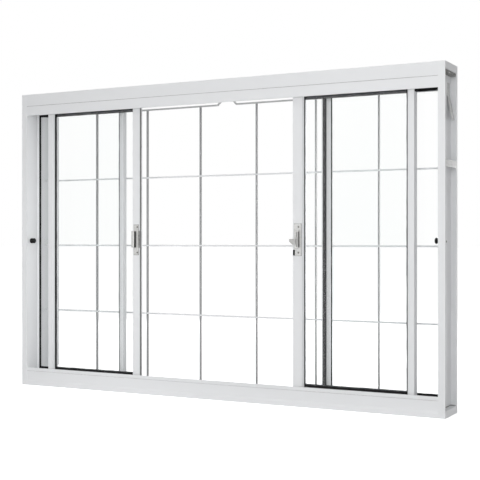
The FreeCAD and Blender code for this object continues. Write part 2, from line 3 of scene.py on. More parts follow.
import bpy
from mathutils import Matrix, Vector


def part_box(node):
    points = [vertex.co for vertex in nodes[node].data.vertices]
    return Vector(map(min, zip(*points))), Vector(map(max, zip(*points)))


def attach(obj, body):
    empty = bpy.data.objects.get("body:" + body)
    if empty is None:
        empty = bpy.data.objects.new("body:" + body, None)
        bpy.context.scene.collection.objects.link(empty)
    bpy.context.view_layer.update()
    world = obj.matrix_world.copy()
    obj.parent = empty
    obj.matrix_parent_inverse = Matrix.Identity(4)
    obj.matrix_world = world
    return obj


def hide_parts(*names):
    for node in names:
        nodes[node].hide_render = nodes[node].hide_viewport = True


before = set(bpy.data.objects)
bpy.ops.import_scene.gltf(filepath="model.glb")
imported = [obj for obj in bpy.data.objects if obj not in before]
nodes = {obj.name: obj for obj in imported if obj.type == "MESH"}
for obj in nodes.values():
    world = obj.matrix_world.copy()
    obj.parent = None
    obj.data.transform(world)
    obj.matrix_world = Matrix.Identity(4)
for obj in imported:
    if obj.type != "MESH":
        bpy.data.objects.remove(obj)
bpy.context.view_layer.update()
bpy.ops.object.select_all(action="DESELECT")
print("frame loaded:", len(nodes), "nodes")

towardRight = Vector((1, 0, 0))
towardRoom = Vector((0, -1, 0))
upward = Vector((0, 0, 1))
quarterTurn = math.pi / 2


# Node helpers
def newFinish(name):
    finish = bpy.data.materials.new(name)
    finish.use_nodes = True
    return finish, finish.node_tree, finish.node_tree.nodes["Principled BSDF"]


def addNode(tree, kind, **sockets):
    node = tree.nodes.new(kind)
    for name, value in sockets.items():
        node.inputs[name].default_value = value
    return node


def objectPoints(tree, stretch=(1, 1, 1)):
    place = tree.nodes.new("ShaderNodeTexCoord")
    mapping = addNode(tree, "ShaderNodeMapping", Scale=stretch)
    tree.links.new(place.outputs["Object"], mapping.inputs["Vector"])
    return mapping.outputs["Vector"]


def noise(tree, points, scale, detail=3.0):
    texture = addNode(tree, "ShaderNodeTexNoise", Scale=scale, Detail=detail)
    tree.links.new(points, texture.inputs["Vector"])
    return texture.outputs["Fac"]


def span(tree, source, low, high):
    node = addNode(tree, "ShaderNodeMapRange", **{"To Min": low, "To Max": high})
    tree.links.new(source, node.inputs["Value"])
    return node.outputs["Result"]


def larger(tree, first, second):
    node = tree.nodes.new("ShaderNodeMath")
    node.operation = "MAXIMUM"
    tree.links.new(first, node.inputs[0])
    tree.links.new(second, node.inputs[1])
    return node.outputs["Value"]


def tint(tree, shader, source, look, start=0.3, end=0.7):  # base colour between the look's two tones
    node = tree.nodes.new("ShaderNodeValToRGB")
    tree.links.new(source, node.inputs["Fac"])
    tones = (look["deep"], look["pale"])
    for stop, place, tone in zip(node.color_ramp.elements, (start, end), tones):
        stop.position = place
        stop.color = (*tone, 1.0)
    tree.links.new(node.outputs["Color"], shader.inputs["Base Color"])


def roughen(tree, shader, source, look):
    roughness = span(tree, source, look["smooth"], look["matt"])
    tree.links.new(roughness, shader.inputs["Roughness"])


def bump(tree, shader, source, skin):
    node = addNode(tree, "ShaderNodeBump", Strength=skin["strength"], Distance=skin["depth"])
    tree.links.new(source, node.inputs["Height"])
    tree.links.new(node.outputs["Normal"], shader.inputs["Normal"])


# Finishes: each look has two tones and two ends of roughness, each skin has what its looks share
whiteCoat = {"pale": (0.80, 0.808, 0.82), "deep": (0.775, 0.783, 0.795), "smooth": 0.46, "matt": 0.58}
# The grille's bars are a darker grey than its rails, which take the white coat
barGrey = {"pale": (0.37, 0.374, 0.378), "deep": (0.32, 0.324, 0.328), "smooth": 0.5, "matt": 0.62}
# The darker grey on the grille's top rail is painted shade from the head above it
topRailPaintedShade = {"pale": (0.58, 0.583, 0.587), "deep": (0.53, 0.533, 0.537), "smooth": 0.5, "matt": 0.62}
coatSkin = {"sheen": 0.2, "lines": 9.0, "cloud": 40.0, "peel": 900.0, "peelDetail": 2.0,
            "strength": 0.06, "depth": 0.0003}
# Stretch of the die lines, which run along each profile
dieLines = {"upright": (1, 1, 0.02), "crosswise": (0.02, 1, 1), "bar": (1, 1, 0.1), "topRailShade": (0.1, 1, 1)}


def coatFinish(name, coat, run):  # powder coat over extruded metal
    finish, tree, shader = newFinish(name)
    even = objectPoints(tree)
    drawn = objectPoints(tree, dieLines[run])
    tint(tree, shader, noise(tree, drawn, coatSkin["lines"]), coat)
    roughen(tree, shader, noise(tree, even, coatSkin["cloud"]), coat)
    shader.inputs["Specular IOR Level"].default_value = coatSkin["sheen"]
    bump(tree, shader, noise(tree, even, coatSkin["peel"], coatSkin["peelDetail"]), coatSkin)
    return finish


clearGlass = {"pale": (0.992, 0.996, 0.994), "deep": (0.984, 0.992, 0.99),
              "shadow": (0.97, 0.975, 0.975, 1.0), "bend": 1.14, "cloud": 3.0,
              "waves": 5.0, "waveDetail": 1.0, "strength": 0.02, "depth": 0.001}


def glassFinish():  # plain see-through for shadow and diffuse rays, glass for the others
    finish, tree, shader = newFinish("clearGlass")
    points = objectPoints(tree)
    tint(tree, shader, noise(tree, points, clearGlass["cloud"]), clearGlass)
    shader.inputs["Roughness"].default_value = 0.0
    shader.inputs["IOR"].default_value = clearGlass["bend"]
    shader.inputs["Transmission Weight"].default_value = 1.0
    bump(tree, shader, noise(tree, points, clearGlass["waves"], clearGlass["waveDetail"]), clearGlass)
    rays = tree.nodes.new("ShaderNodeLightPath")
    either = larger(tree, rays.outputs["Is Shadow Ray"], rays.outputs["Is Diffuse Ray"])
    through = addNode(tree, "ShaderNodeBsdfTransparent", Color=clearGlass["shadow"])
    mix = tree.nodes.new("ShaderNodeMixShader")
    tree.links.new(either, mix.inputs["Fac"])
    tree.links.new(shader.outputs["BSDF"], mix.inputs[1])
    tree.links.new(through.outputs["BSDF"], mix.inputs[2])
    tree.links.new(mix.outputs["Shader"], tree.nodes["Material Output"].inputs["Surface"])
    return finish


blackRubber = {"pale": (0.012, 0.012, 0.0125), "deep": (0.006, 0.006, 0.0065),
               "smooth": 0.5, "matt": 0.7, "grain": 60.0}
greyRubber = {"pale": (0.15, 0.152, 0.155), "deep": (0.10, 0.102, 0.105),
              "smooth": 0.5, "matt": 0.66, "grain": 60.0}
# Dark grey that paints shade lines and strips round the lock, the keeper and the grooves
greyPaintedShade = {"pale": (0.13, 0.13, 0.127), "deep": (0.08, 0.08, 0.078),
               "smooth": 0.6, "matt": 0.75, "grain": 25.0}
# Grey foam of the corner beads, also the painted shadow beside the keeper and under the head's ends
greyFoamAndShade = {"pale": (0.38, 0.38, 0.37), "deep": (0.13, 0.13, 0.127),
            "smooth": 0.75, "matt": 0.9, "grain": 150.0}
blackPile = {"pale": (0.13, 0.13, 0.132), "deep": (0.055, 0.055, 0.057),
             "smooth": 0.8, "matt": 0.95, "grain": 1200.0}
greyPile = {"pale": (0.27, 0.27, 0.272), "deep": (0.13, 0.13, 0.132),
            "smooth": 0.8, "matt": 0.95, "grain": 1200.0}
rubberSkin = {"sheen": 0.12, "pores": 700.0, "strength": 0.2, "depth": 0.0003}


def rubberFinish(name, rubberAndShade):
    finish, tree, shader = newFinish(name)
    points = objectPoints(tree)
    cloudy = noise(tree, points, rubberAndShade["grain"])
    tint(tree, shader, cloudy, rubberAndShade)
    roughen(tree, shader, cloudy, rubberAndShade)
    shader.inputs["Specular IOR Level"].default_value = rubberSkin["sheen"]
    bump(tree, shader, noise(tree, points, rubberSkin["pores"]), rubberSkin)
    return finish


zincCast = {"pale": (0.60, 0.598, 0.59), "deep": (0.46, 0.458, 0.45),
            "smooth": 0.34, "matt": 0.52, "metal": 0.3}
# Darker zinc of the latch, also the painted shade on the floor of the lock's slot
latchAndSlotShadeCast = {"pale": (0.44, 0.438, 0.43), "deep": (0.33, 0.328, 0.32),
             "smooth": 0.34, "matt": 0.52, "metal": 0.3}
darkScrew = {"pale": (0.20, 0.198, 0.19), "deep": (0.12, 0.118, 0.11),
             "smooth": 0.3, "matt": 0.45, "metal": 0.6}
castSkin = {"cloud": 220.0, "grit": 1500.0, "strength": 0.1, "depth": 0.0002}


def zincFinish(name, cast):
    finish, tree, shader = newFinish(name)
    points = objectPoints(tree)
    cloudy = noise(tree, points, castSkin["cloud"])
    tint(tree, shader, cloudy, cast)
    roughen(tree, shader, cloudy, cast)
    shader.inputs["Metallic"].default_value = cast["metal"]
    bump(tree, shader, noise(tree, points, castSkin["grit"]), castSkin)
    return finish


galvanised = {"pale": (0.60, 0.60, 0.595), "deep": (0.47, 0.475, 0.475), "smooth": 0.32, "matt": 0.52,
              "metal": 0.4, "cells": 160.0, "deepEnd": 0.1, "paleEnd": 0.9,
              "grit": 900.0, "strength": 0.08, "depth": 0.0002}


def galvanisedFinish():  # zinc spangle in flat cells
    finish, tree, shader = newFinish("galvanised")
    points = objectPoints(tree)
    cells = addNode(tree, "ShaderNodeTexVoronoi", Scale=galvanised["cells"])
    tree.links.new(points, cells.inputs["Vector"])
    spangle = cells.outputs["Color"]
    tint(tree, shader, spangle, galvanised, galvanised["deepEnd"], galvanised["paleEnd"])
    roughen(tree, shader, spangle, galvanised)
    shader.inputs["Metallic"].default_value = galvanised["metal"]
    bump(tree, shader, noise(tree, points, galvanised["grit"]), galvanised)
    return finish


darkNylon = {"pale": (0.14, 0.14, 0.14), "deep": (0.10, 0.10, 0.10),
             "smooth": 0.4, "matt": 0.5, "cloud": 150.0}


def nylonFinish():
    finish, tree, shader = newFinish("darkNylon")
    cloudy = noise(tree, objectPoints(tree), darkNylon["cloud"])
    tint(tree, shader, cloudy, darkNylon)
    roughen(tree, shader, cloudy, darkNylon)
    return finish


uprightCoat = coatFinish("whiteCoatUpright", whiteCoat, "upright")
crosswiseCoat = coatFinish("whiteCoatCrosswise", whiteCoat, "crosswise")
grille = coatFinish("barGrey", barGrey, "bar")
topRailShade = coatFinish("topRailPaintedShade", topRailPaintedShade, "topRailShade")
glass = glassFinish()
# Black rubber of the gaskets, lips, bumpers and guides, also the painted shade in the keeper's hood and at
# the lock's tab
rubberAndShade = rubberFinish("blackRubber", blackRubber)
paleRubber = rubberFinish("greyRubber", greyRubber)
paintedShade = rubberFinish("greyPaintedShade", greyPaintedShade)
foamAndShade = rubberFinish("greyFoamAndShade", greyFoamAndShade)
pileAndShade = rubberFinish("blackPile", blackPile)
palePile = rubberFinish("greyPile", greyPile)
zinc = zincFinish("zincCast", zincCast)
latchZincAndSlotShade = zincFinish("latchZincAndSlotShade", latchAndSlotShadeCast)
screwSteel = zincFinish("screwSteel", darkScrew)
steel = galvanisedFinish()
nylon = nylonFinish()
print("finishes made")

# Finish of each frame node, by the first of these words that is in its name
finishByWord = {
    "bar": grille,
    # the top rail's darker grey is painted shade from the head
    "5": topRailShade,  # the grille's top rail
    "latch": latchZincAndSlotShade,
    "head": crosswiseCoat, "sill": crosswiseCoat, "rail": crosswiseCoat,
    "jamb": uprightCoat, "stile": uprightCoat, "flap": uprightCoat,
    "glass": glass, "gasket": rubberAndShade, "bumper": rubberAndShade, "rollers": nylon,
    "lock": zinc, "band": steel, "strap": steel,
}
for name, node in nodes.items():
    words = name.split("_")
    finish = next(finish for word, finish in finishByWord.items() if word in words)
    node.data.materials.clear()
    node.data.materials.append(finish)
print("frame nodes dressed")

# Modelling helpers
alignment = 0.995  # least cosine for a face or an edge that lies along a direction
headShape = {"sides": 24, "rim": 0.9, "steps": 3}  # round heads, with the rim as a share of the height
smoothAngle = math.radians(40)
weldReach = 0.000005


def sideways(facing):
    return abs(facing.x) > abs(facing.y)


def openPiece(name):  # the primitive just added, its place put into its mesh, left in edit mode
    piece = bpy.context.object
    piece.name = name
    bpy.ops.object.transform_apply(location=True, rotation=True, scale=True)
    bpy.ops.object.mode_set(mode="EDIT")
    return piece


def closePiece():
    bpy.ops.mesh.select_all(action="SELECT")
    bpy.ops.object.mode_set(mode="OBJECT")


def pickFaces(piece, wanted):  # wanted gets each face's middle and normal
    bpy.ops.mesh.select_mode(type="FACE")
    bpy.ops.mesh.select_all(action="DESELECT")
    bpy.ops.object.mode_set(mode="OBJECT")
    for face in piece.data.polygons:
        face.select = wanted(face.center, face.normal)
    bpy.ops.object.mode_set(mode="EDIT")


def pickEdges(piece, wanted):  # wanted gets each edge's middle and direction
    bpy.ops.mesh.select_mode(type="EDGE")
    bpy.ops.mesh.select_all(action="DESELECT")
    bpy.ops.object.mode_set(mode="OBJECT")
    points = piece.data.vertices
    for edge in piece.data.edges:
        start, end = (points[number].co for number in edge.vertices)
        edge.select = wanted((start + end) / 2, (end - start).normalized())
    bpy.ops.object.mode_set(mode="EDIT")


def refine(piece, kind, **settings):  # one modifier, applied
    modifier = piece.modifiers.new(kind.lower(), kind)
    for name, value in settings.items():
        setattr(modifier, name, value)
    bpy.context.view_layer.objects.active = piece
    bpy.ops.object.modifier_apply(modifier=modifier.name)


def soften(piece, form, **limits):  # small bevel on the sharp edges
    refine(piece, "BEVEL", width=form["round"], segments=form["steps"], limit_method="ANGLE", **limits)


def unevenCloud(name, size):
    cloud = bpy.data.textures.new(name, "CLOUDS")
    cloud.noise_scale = size
    return cloud


def ruffle(piece, cloud, strength, level=0.5, **settings):  # uneven surface from a cloud
    refine(piece, "DISPLACE", texture=cloud, texture_coords="LOCAL",
           strength=strength, mid_level=level, **settings)


def startBox(name, low, high):
    bpy.ops.object.select_all(action="DESELECT")
    middle = [(a + b) / 2 for a, b in zip(low, high)]
    bpy.ops.mesh.primitive_cube_add(size=1.0, location=middle, scale=[b - a for a, b in zip(low, high)])
    return openPiece(name)


def raiseSide(piece, facing, edge, height):  # the side that looks along facing, inside an even edge
    pickFaces(piece, lambda place, normal: normal.dot(facing) > alignment)
    bpy.ops.mesh.inset(thickness=edge)
    bpy.ops.mesh.extrude_region_move(TRANSFORM_OT_translate={"value": facing * height})


def hollowBox(name, low, high, facing, form):  # a negative sink is a rib in place of a hollow
    piece = startBox(name, low, high)
    raiseSide(piece, facing, form["edge"], -form["sink"])
    closePiece()
    soften(piece, form)
    return piece


def startHead(name, seat, facing, form):  # stands on the seat, looks along facing, its rim rounded off
    bpy.ops.object.select_all(action="DESELECT")
    turn = (0, quarterTurn, 0) if sideways(facing) else (quarterTurn, 0, 0)
    height = form["height"]
    bpy.ops.mesh.primitive_cylinder_add(vertices=headShape["sides"], radius=form["radius"], depth=height,
                                        location=seat + facing * height / 2, rotation=turn)
    piece = openPiece(name)
    rim = height * headShape["rim"]
    pickEdges(piece, lambda place, way: (place - seat).dot(facing) > rim)
    bpy.ops.mesh.bevel(offset=form["round"], segments=headShape["steps"])
    return piece


def copyPiece(piece, name, shift=(0, 0, 0), mirrored=False):
    bpy.ops.object.select_all(action="DESELECT")
    piece.select_set(True)
    bpy.context.view_layer.objects.active = piece
    bpy.ops.object.duplicate(linked=False)
    twin = bpy.context.object
    twin.name = name
    bpy.ops.object.mode_set(mode="EDIT")
    bpy.ops.mesh.select_all(action="SELECT")
    bpy.ops.transform.translate(value=shift)
    if mirrored:
        bpy.ops.transform.resize(value=(-1, 1, 1), center_override=(0, 0, 0))
        bpy.ops.mesh.remove_doubles(threshold=weldReach)
        bpy.ops.mesh.normals_make_consistent(inside=False)
    bpy.ops.object.mode_set(mode="OBJECT")
    return twin


def mirrorPiece(piece):  # the left-hand twin of a piece on the right
    return copyPiece(piece, piece.name.replace("right", "left"), mirrored=True)


def dress(piece, finish, body):
    bpy.ops.object.select_all(action="DESELECT")
    piece.select_set(True)
    bpy.context.view_layer.objects.active = piece
    bpy.ops.object.shade_smooth_by_angle(angle=smoothAngle)
    piece.data.materials.clear()
    piece.data.materials.append(finish)
    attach(piece, body)


# Rubber lips round the panes. Shows are left, low, right and high, from the metal's edge
lipForm = {"tuck": 0.003, "thick": 0.001, "inside": 0.0003, "clear": 0.0002, "round": 0.0003, "steps": 2,
           "cuts": 75, "wave": 0.002, "waveSize": 0.035}
lipShows = {
    "left_sash": {"front": (0.006, 0.0068, 0.003, 0.004), "back": (-0.002, 0.0092, -0.002, 0.0115)},
    "right_sash": {"front": (0.002, 0.008, 0.0041, 0.004), "back": (-0.002, 0.0108, -0.002, 0.0115)},
    "left_fixed": {"front": (0.005, 0.009, 0.0056, 0.0125), "back": (-0.002, 0.006, -0.002, 0.008)},
    "right_fixed": {"front": (0.002, 0.009, 0.005, 0.013), "back": (-0.002, 0.006, -0.002, 0.008)},
}
fixedPane = {"hidden": 0.010}  # how far the CAD gasket goes behind the sill's and the head's ribs
lipWave = unevenCloud("lipWave", lipForm["waveSize"])


def rubberLip(name, window, shows, rim, tip, thickTo):  # thickTo is the side that its thickness goes to
    left, low, right, high = window
    tuck = lipForm["tuck"]
    wide = right - left
    tall = high - low
    middle = ((left + right) / 2, rim, (low + high) / 2)
    bpy.ops.object.select_all(action="DESELECT")
    bpy.ops.mesh.primitive_plane_add(size=1.0, location=middle, rotation=(quarterTurn, 0, 0))
    bpy.context.object.scale = (wide + 2 * tuck, tall + 2 * tuck, 1)
    piece = openPiece(name)
    bpy.ops.mesh.select_all(action="SELECT")
    bpy.ops.mesh.inset(thickness=tuck)
    # the inner face becomes the tip's outline, and then the opening
    shrink = ((wide - shows[0] - shows[2]) / wide, 1, (tall - shows[1] - shows[3]) / tall)
    bpy.ops.transform.resize(value=shrink, center_override=middle)
    shift = ((shows[0] - shows[2]) / 2, tip - rim, (shows[1] - shows[3]) / 2)
    bpy.ops.transform.translate(value=shift)
    bpy.ops.object.vertex_group_assign_new()
    bpy.ops.mesh.delete(type="FACE")
    pickEdges(piece, lambda place, way: max(abs(way.x), abs(way.z)) > alignment)
    bpy.ops.mesh.subdivide(number_cuts=lipForm["cuts"])
    closePiece()
    tipGroup = piece.vertex_groups[0].name
    for axis in ("X", "Z"):
        ruffle(piece, lipWave, lipForm["wave"], direction=axis, vertex_group=tipGroup)
    refine(piece, "SOLIDIFY", thickness=lipForm["thick"], offset=thickTo)
    soften(piece, lipForm)
    return piece


def glazeWindow(leaf, window, body):
    gasketLow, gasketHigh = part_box(leaf + "_gasket")
    glassLow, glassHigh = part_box(leaf + "_glass")
    fit = lipForm["thick"] + lipForm["inside"]
    shows = lipShows[leaf]
    front = rubberLip(leaf + "_frontLip", window, shows["front"],
                      gasketLow.y + fit, glassLow.y - lipForm["clear"], thickTo=1.0)
    back = rubberLip(leaf + "_backLip", window, shows["back"],
                     gasketHigh.y - fit, glassHigh.y + lipForm["clear"], thickTo=-1.0)
    dress(front, rubberAndShade, body)
    dress(back, paleRubber if "sash" in leaf else rubberAndShade, body)
    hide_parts(leaf + "_gasket")


for side in ("left", "right"):
    railLow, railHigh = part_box(side + "_bottom_rail")
    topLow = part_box(side + "_top_rail")[0]
    glazeWindow(side + "_sash", (railLow.x, railHigh.z, railHigh.x, topLow.z), side + "_sash")
    stileLow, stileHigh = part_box(side + "_fixed_stile")
    jambLow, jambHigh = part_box(side + "_jamb")
    gasketLow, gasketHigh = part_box(side + "_fixed_gasket")
    low = gasketLow.z + fixedPane["hidden"]
    high = gasketHigh.z - fixedPane["hidden"]
    ends = (stileHigh.x, jambLow.x) if side == "right" else (jambHigh.x, stileLow.x)
    glazeWindow(side + "_fixed", (ends[0], low, ends[1], high), "frame")
print("panes glazed")

# Pile strips: a woven backing with a brush of short fibres, along the meeting stile and in the interlocks,
# where the black pile is also painted shade of the hooks' hollows
pileForm = {"backing": 0.0005, "edge": 0.0008, "brush": 0.0016, "taper": 0.7,
            "cuts": 110, "uneven": 0.0009, "cloudSize": 0.006}
pileCloud = unevenCloud("pileCloud", pileForm["cloudSize"])


def pileStrip(name, low, high, facing):
    piece = startBox(name, low, high)
    raiseSide(piece, facing, pileForm["edge"], pileForm["brush"])
    middle = (Vector(low) + Vector(high)) / 2
    narrow = (1, pileForm["taper"], 1) if sideways(facing) else (pileForm["taper"], 1, 1)
    bpy.ops.transform.resize(value=narrow, center_override=middle)
    pickEdges(piece, lambda place, way: abs(way.z) > alignment)
    bpy.ops.mesh.subdivide(number_cuts=pileForm["cuts"])
    closePiece()
    ruffle(piece, pileCloud, pileForm["uneven"])
    return piece


meetingStrip = {"near": 0.0006, "far": 0.0085, "ends": 0.001}
meetingLow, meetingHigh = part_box("left_meeting_stile")


def meetingPile():  # along the edge of the left leaf that meets the right one
    low = (meetingHigh.x, meetingLow.y + meetingStrip["near"], meetingLow.z + meetingStrip["ends"])
    high = (meetingHigh.x + pileForm["backing"], meetingLow.y + meetingStrip["far"],
            meetingHigh.z - meetingStrip["ends"])
    return pileStrip("left_meeting_pile", low, high, towardRight)


dress(meetingPile(), palePile, "left_sash")

# Across and ends are from the fixed stile's free edge and its ends
interlock = {"slotAcross": (0.0015, 0.010), "lipAcross": (0.0022, 0.0097),
             "ahead": 0.0008, "behind": 0.0023, "wall": 0.0015, "ends": 0.030}
hookLow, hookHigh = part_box("right_fixed_stile")
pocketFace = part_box("right_fixed_gasket")[0].y - interlock["wall"]


def interlockPile(name, across, near, far):
    low = (hookLow.x + across[0], near, hookLow.z + interlock["ends"])
    high = (hookLow.x + across[1], far, hookHigh.z - interlock["ends"])
    return pileStrip(name, low, high, towardRoom)


slotNear = pocketFace - pileForm["backing"]
slotPile = interlockPile("right_slot_pile", interlock["slotAcross"], slotNear, pocketFace)
lipNear = hookLow.y - interlock["ahead"] + pileForm["brush"]
lipFar = hookLow.y + interlock["behind"]
lipPile = interlockPile("right_lip_pile", interlock["lipAcross"], lipNear, lipFar)  # round the hook's end, on the right stile only, where it also paints the shade in the hook's hollow
for strip in (mirrorPiece(slotPile), slotPile, lipPile):
    dress(strip, pileAndShade, "frame")
print("pile strips laid")

# Cross-head screws, modelled once for each way that they face
screwForm = {"radius": 0.0028, "height": 0.0013, "round": 0.0007,
             "slotLong": 0.0032, "slotWide": 0.0007, "slotDeep": 0.0007}


def crossScrew(name, seat, facing):
    piece = startHead(name, seat, facing, screwForm)
    closePiece()
    # the recess is cut by two crossing bars
    top = seat + facing * screwForm["height"]
    across = Vector((0, 1, 0)) if sideways(facing) else towardRight
    for long, wide in ((across, upward), (upward, across)):
        reach = long * screwForm["slotLong"] / 2 + wide * screwForm["slotWide"] / 2
        reach += Vector([abs(v) for v in facing]) * screwForm["slotDeep"]
        bar = startBox("recess", top - reach, top + reach)
        closePiece()
        refine(piece, "BOOLEAN", object=bar, operation="DIFFERENCE", solver="EXACT")
        bpy.data.objects.remove(bar, do_unlink=True)
    return piece


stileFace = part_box("right_meeting_stile")[0].y
lockLow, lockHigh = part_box("lock_body")
keeperLow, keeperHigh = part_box("lock_keeper")
# Side is from the left edge of the lock or the keeper, end from its ends, thick is its plate's
plateScrews = [
    {"name": "lock_screw", "low": lockLow, "high": lockHigh,
     "side": 0.0145, "end": 0.0095, "thick": 0.002, "body": "right_sash"},
    {"name": "keeper_screw", "low": keeperLow, "high": keeperHigh,
     "side": 0.018, "end": 0.0075, "thick": 0.0015, "body": "left_sash"},
]
screwSpots = []
for plate in plateScrews:
    side = plate["low"].x + plate["side"]
    face = stileFace - plate["thick"]
    for end, rise in (("_high", plate["high"].z - plate["end"]), ("_low", plate["low"].z + plate["end"])):
        screwSpots.append((plate["name"] + end, Vector((side, face, rise)), plate["body"]))
(firstName, firstSpot, firstBody), *otherSpots = screwSpots
frontScrew = crossScrew(firstName, firstSpot, towardRoom)
for name, spot, body in otherSpots:
    dress(copyPiece(frontScrew, name, spot - firstSpot), screwSteel, body)
dress(frontScrew, screwSteel, firstBody)

# Screws in the jambs' outer channels: one on each patch of painted shadow under the head's ends, one in the
# web at the bumper's height
# Head end is from the jamb's top, outer side and front, bumper from its foot, inner side and front
jambScrews = {"headEnd": (-0.003, 0.047, -0.0265), "bumper": (0.0095, 0.0753, 0.495)}
jambLow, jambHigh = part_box("right_jamb")
headEndSeat = Vector((jambHigh.x, jambLow.y, jambHigh.z)) + Vector(jambScrews["headEnd"])
bumperSeat = jambLow + Vector(jambScrews["bumper"])
headEndScrew = crossScrew("right_pad_screw", headEndSeat, towardRight)
bumperScrew = copyPiece(headEndScrew, "right_bumper_screw", bumperSeat - headEndSeat)
for screw, finish in ((headEndScrew, steel), (bumperScrew, screwSteel)):
    dress(mirrorPiece(screw), finish, "frame")
    dress(screw, finish, "frame")

# Rivets in the seats of the anchor bands
rivetForm = {"radius": 0.0032, "height": 0.0008, "round": 0.0005, "dimple": 0.0014, "sink": 0.0004,
             "seat": 0.0009, "depths": (-0.046, 0.046)}
bandLow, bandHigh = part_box("right_anchor_band")


def bandRivet(name, seat):
    piece = startHead(name, seat, towardRight, rivetForm)
    rim = rivetForm["height"] * headShape["rim"]
    pickFaces(piece, lambda place, normal: normal.x > alignment and (place - seat).x > rim)
    bpy.ops.mesh.inset(thickness=rivetForm["radius"] - rivetForm["round"] - rivetForm["dimple"])
    bpy.ops.mesh.extrude_region_move(TRANSFORM_OT_translate={"value": (-rivetForm["sink"], 0, 0)})
    closePiece()
    return piece


nearDepth, farDepth = rivetForm["depths"]
firstSeat = Vector((bandHigh.x - rivetForm["seat"], nearDepth, (bandLow.z + bandHigh.z) / 2))
rivet = bandRivet("right_band_rivet_1", firstSeat)
secondRivet = copyPiece(rivet, "right_band_rivet_2", (0, farDepth - nearDepth, 0))
for each in (rivet, secondRivet, mirrorPiece(rivet), mirrorPiece(secondRivet)):
    dress(each, steel, "frame")
print("screws and rivets set")

# Painted shade round the keeper and the lock, and the guides on the leaves' tops, placed from the boxes of
# what they sit on
hoodShadeForm = {"hood": 0.011, "wall": 0.0016, "out": 0.0014, "low": 0.0246, "high": 0.0216,
              "edge": 0.0014, "sink": 0.007, "round": 0.0004, "steps": 2}


def keeperHoodShade():  # dark sheet that paints the shade inside the keeper's hood, which is open on the right
    wall = hoodShadeForm["wall"]
    hoodRight = keeperLow.x + hoodShadeForm["hood"]
    low = (keeperLow.x + wall, keeperLow.y + wall, keeperLow.z + hoodShadeForm["low"])
    high = (hoodRight + hoodShadeForm["out"], keeperHigh.y - wall, keeperHigh.z - hoodShadeForm["high"])
    return hollowBox("keeper_hood_shade", low, high, towardRight, hoodShadeForm)


dress(keeperHoodShade(), rubberAndShade, "left_sash")

keeperShadowForm = {"inside": 0.0002, "wide": 0.0046, "proud": 0.0018, "low": 0.023, "high": 0.019,
            "edge": 0.0012, "sink": 0.0004, "round": 0.00015, "steps": 2}


def keeperShadowStrip():  # painted shadow of the keeper's hood, beside the keeper along the stile's edge
    right = meetingHigh.x - keeperShadowForm["inside"]
    low = (right - keeperShadowForm["wide"], meetingLow.y - keeperShadowForm["proud"], keeperLow.z + keeperShadowForm["low"])
    high = (right, meetingLow.y, keeperHigh.z - keeperShadowForm["high"])
    return hollowBox("keeper_shadow_strip", low, high, towardRoom, keeperShadowForm)


dress(keeperShadowStrip(), foamAndShade, "left_sash")

tabShadeForm = {"past": 0.003, "over": 0.0025, "low": 0.0015, "high": 0.0175, "proud": 0.004,
            "cuts": 2, "waist": 0.002, "notch": 0.0025, "round": 0.0008, "steps": 3}


def tabShade():  # painted shade in two lobes with a notch between them, near the plate's lower left corner
    low = (lockLow.x - tabShadeForm["past"], stileFace - tabShadeForm["proud"], lockLow.z + tabShadeForm["low"])
    high = (lockLow.x + tabShadeForm["over"], stileFace, lockLow.z + tabShadeForm["high"])
    piece = startBox("lock_tab_shade", low, high)
    pickEdges(piece, lambda place, way: abs(way.z) > alignment)
    bpy.ops.mesh.subdivide(number_cuts=tabShadeForm["cuts"])
    middle = (low[2] + high[2]) / 2
    waist = tabShadeForm["waist"]
    pickFaces(piece, lambda place, normal: normal.x < -alignment and abs(place.z - middle) < waist)
    bpy.ops.mesh.extrude_region_move(TRANSFORM_OT_translate={"value": (tabShadeForm["notch"], 0, 0)})
    closePiece()
    soften(piece, tabShadeForm)
    return piece


dress(tabShade(), rubberAndShade, "right_sash")

plateShadeForm = {"thick": 0.0004, "show": 0.0007, "overhang": 0.004,
           "edge": 0.002, "sink": 0.0002, "round": 0.00006, "steps": 1}


def plateShadeLine(name, plateLow, plateHigh):  # thin dark sheet under a plate that paints a shade line round its edge
    show = plateShadeForm["show"]
    low = (plateLow.x - show, stileFace - plateShadeForm["thick"], plateLow.z - show)
    high = (plateHigh.x + show, stileFace, plateHigh.z + show)
    return hollowBox(name, low, high, towardRoom, plateShadeForm)


plateLow = keeperLow + towardRight * plateShadeForm["overhang"]  # the keeper's hood stands out past its plate
dress(plateShadeLine("lock_shade_line", lockLow, lockHigh), paintedShade, "right_sash")
dress(plateShadeLine("keeper_shade_line", plateLow, keeperHigh), paintedShade, "left_sash")

slotShadeForm = {"left": 0.0101, "right": 0.0154, "low": 0.0266, "high": 0.0236, "floor": 0.0045, "thick": 0.0004,
            "edge": 0.0015, "sink": -0.0004, "round": 0.00008, "steps": 1}


def slotShade():  # darker floor of the lock's long slot, with a rib along it: painted shade of the recess
    floor = lockLow.y + slotShadeForm["floor"]
    low = (lockLow.x + slotShadeForm["left"], floor - slotShadeForm["thick"], lockLow.z + slotShadeForm["low"])
    high = (lockLow.x + slotShadeForm["right"], floor, lockHigh.z - slotShadeForm["high"])
    return hollowBox("lock_slot_liner", low, high, towardRoom, slotShadeForm)


dress(slotShade(), latchZincAndSlotShade, "right_sash")

flankShadeForm = {"face": 0.0167, "thick": 0.0004, "near": 0.0008, "far": 0.0072, "low": 0.0265, "high": 0.0235,
             "edge": 0.0012, "sink": 0.0002, "round": 0.00006, "steps": 1}


def flankShade():  # painted shade along the right side of the lock's housing
    face = lockLow.x + flankShadeForm["face"]
    low = (face, lockLow.y + flankShadeForm["near"], lockLow.z + flankShadeForm["low"])
    high = (face + flankShadeForm["thick"], lockLow.y + flankShadeForm["far"], lockHigh.z - flankShadeForm["high"])
    return hollowBox("lock_flank_shade", low, high, towardRight, flankShadeForm)


